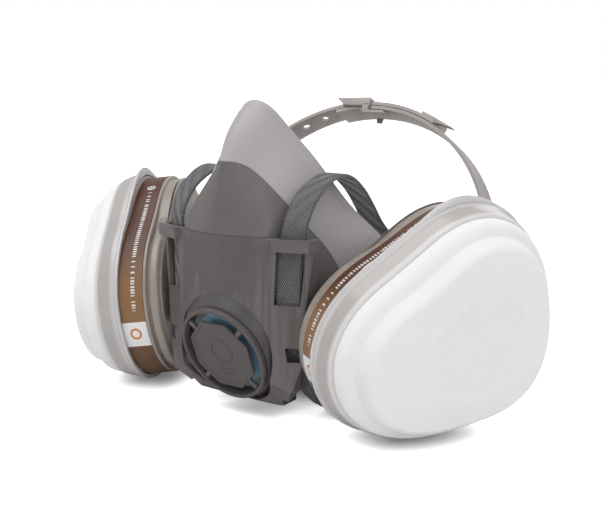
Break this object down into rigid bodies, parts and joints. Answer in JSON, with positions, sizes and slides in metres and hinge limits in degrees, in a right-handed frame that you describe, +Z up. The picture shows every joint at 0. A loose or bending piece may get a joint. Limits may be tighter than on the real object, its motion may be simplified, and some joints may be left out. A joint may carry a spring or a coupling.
{
  "type": "half-mask respirator",
  "caption": "Reusable half-mask respirator with bayonet gas cartridges, clip-on prefilters, a guarded exhalation valve and an elastic head harness.",
  "frame": {"origin": "on the table in the centre plane of the mask, level with the cartridge lip centres; the row stands as it rests on the table", "axes": "+X across the face to the wearer's left, -Y the way the mask looks, +Z up"},
  "size_m": [0.2262, 0.1535, 0.128],
  "materials": {
    "seal_elastomer": "satin light grey elastomer",
    "shell_plastic": "satin dark grey",
    "cover_plastic": "fine matt warm dark grey",
    "collar_plastic": "satin dark grey",
    "flap_silicone": "satin blue",
    "flap_clear": "milky silicone",
    "port_plastic": "satin grey",
    "gasket_rubber": "matt black",
    "case_plastic": "semi-gloss taupe grey",
    "carbon": "granular",
    "felt": "soft felt",
    "label_film": "glossy brown film",
    "filter_felt": "soft white nonwoven",
    "retainer_clear": "milky translucent",
    "webbing": "herringbone elastic webbing",
    "band_plastic": "satin grey",
    "rivet_plastic": "satin grey",
    "clip_plastic": "matt dark grey"
  },
  "bodies": {
    "mask": {"face_seal": "seal_elastomer", "nose_shell": "shell_plastic", "front_cover": "cover_plastic", "valve_collar": "collar_plastic", "valve_seat": "port_plastic", "inlet_port_left": "port_plastic", "inlet_port_right": "port_plastic", "port_gasket_left": "gasket_rubber", "port_gasket_right": "gasket_rubber", "elastic_strap_left": "webbing", "elastic_strap_right": "webbing"},
    "exhalation_flap": {"exhalation_flap": "flap_silicone"},
    "valve_guard": {"valve_guard": "cover_plastic"},
    "inhalation_flap_left": {"inhalation_flap_left": "flap_clear"},
    "inhalation_flap_right": {"inhalation_flap_right": "flap_clear"},
    "cartridge_left": {"cartridge_case_left": "case_plastic", "cartridge_grille_left": "case_plastic", "carbon_bed_left": "carbon", "dust_felts_left": "felt", "cartridge_label_left": "label_film"},
    "cartridge_right": {"cartridge_case_right": "case_plastic", "cartridge_grille_right": "case_plastic", "carbon_bed_right": "carbon", "dust_felts_right": "felt", "cartridge_label_right": "label_film"},
    "retainer_left": {"pad_retainer_left": "retainer_clear", "prefilter_pad_left": "filter_felt"},
    "retainer_right": {"pad_retainer_right": "retainer_clear", "prefilter_pad_right": "filter_felt"},
    "cradle": {"crown_band_left": "band_plastic", "crown_band_right": "band_plastic", "rear_band": "band_plastic", "cradle_rivet_left": "rivet_plastic", "cradle_rivet_right": "rivet_plastic"},
    "crown_slider": {"crown_slider": "band_plastic"},
    "neck_hook": {"neck_hook": "clip_plastic"},
    "neck_loop": {"neck_loop": "clip_plastic"}
  },
  "joints": [
    {"name": "cartridge_left_twist", "type": "hinge", "parent": "mask", "child": "cartridge_left", "pos_m": [-0.07044, -0.01063, 0.0435], "axis": [-0.8786, -0.4593, -0.1305], "range_deg": [0, 45]},
    {"name": "cartridge_right_twist", "type": "hinge", "parent": "mask", "child": "cartridge_right", "pos_m": [0.07044, -0.01063, 0.0435], "axis": [0.8786, -0.4593, -0.1305], "range_deg": [0, 45]},
    {"name": "retainer_left_pull", "type": "slide", "parent": "cartridge_left", "child": "retainer_left", "axis": [-0.8786, -0.4593, -0.1305], "range_m": [0, 0.015]},
    {"name": "retainer_right_pull", "type": "slide", "parent": "cartridge_right", "child": "retainer_right", "axis": [0.8786, -0.4593, -0.1305], "range_m": [0, 0.015]},
    {"name": "exhalation_flap_lift", "type": "slide", "parent": "mask", "child": "exhalation_flap", "axis": [0, -0.9323, -0.3616], "range_m": [0, 0.0015]},
    {"name": "valve_guard_pull", "type": "slide", "parent": "mask", "child": "valve_guard", "axis": [0, -0.9323, -0.3616], "range_m": [0, 0.012]},
    {"name": "inhalation_flap_left_lift", "type": "slide", "parent": "mask", "child": "inhalation_flap_left", "axis": [0.8786, 0.4593, 0.1305], "range_m": [0, 0.0012]},
    {"name": "inhalation_flap_right_lift", "type": "slide", "parent": "mask", "child": "inhalation_flap_right", "axis": [-0.8786, 0.4593, 0.1305], "range_m": [0, 0.0012]},
    {"name": "cradle_swing", "type": "hinge", "parent": "mask", "child": "cradle", "pos_m": [0, 0.0467, 0.0653], "axis": [1, 0, 0], "range_deg": [-10, 30]},
    {"name": "crown_slider_slide", "type": "hinge", "parent": "cradle", "child": "crown_slider", "pos_m": [0, 0.0396, 0.0515], "axis": [0, -0.891, 0.454], "range_deg": [-7, 7]},
    {"name": "neck_hook_tilt", "type": "hinge", "parent": "mask", "child": "neck_hook", "pos_m": [-0.024, 0.066, 0.003], "axis": [0.8387, -0.5446, 0], "range_deg": [0, 60]},
    {"name": "neck_loop_tilt", "type": "hinge", "parent": "mask", "child": "neck_loop", "pos_m": [0.024, 0.066, 0.003], "axis": [0.8387, 0.5446, 0], "range_deg": [0, 60]}
  ]
}
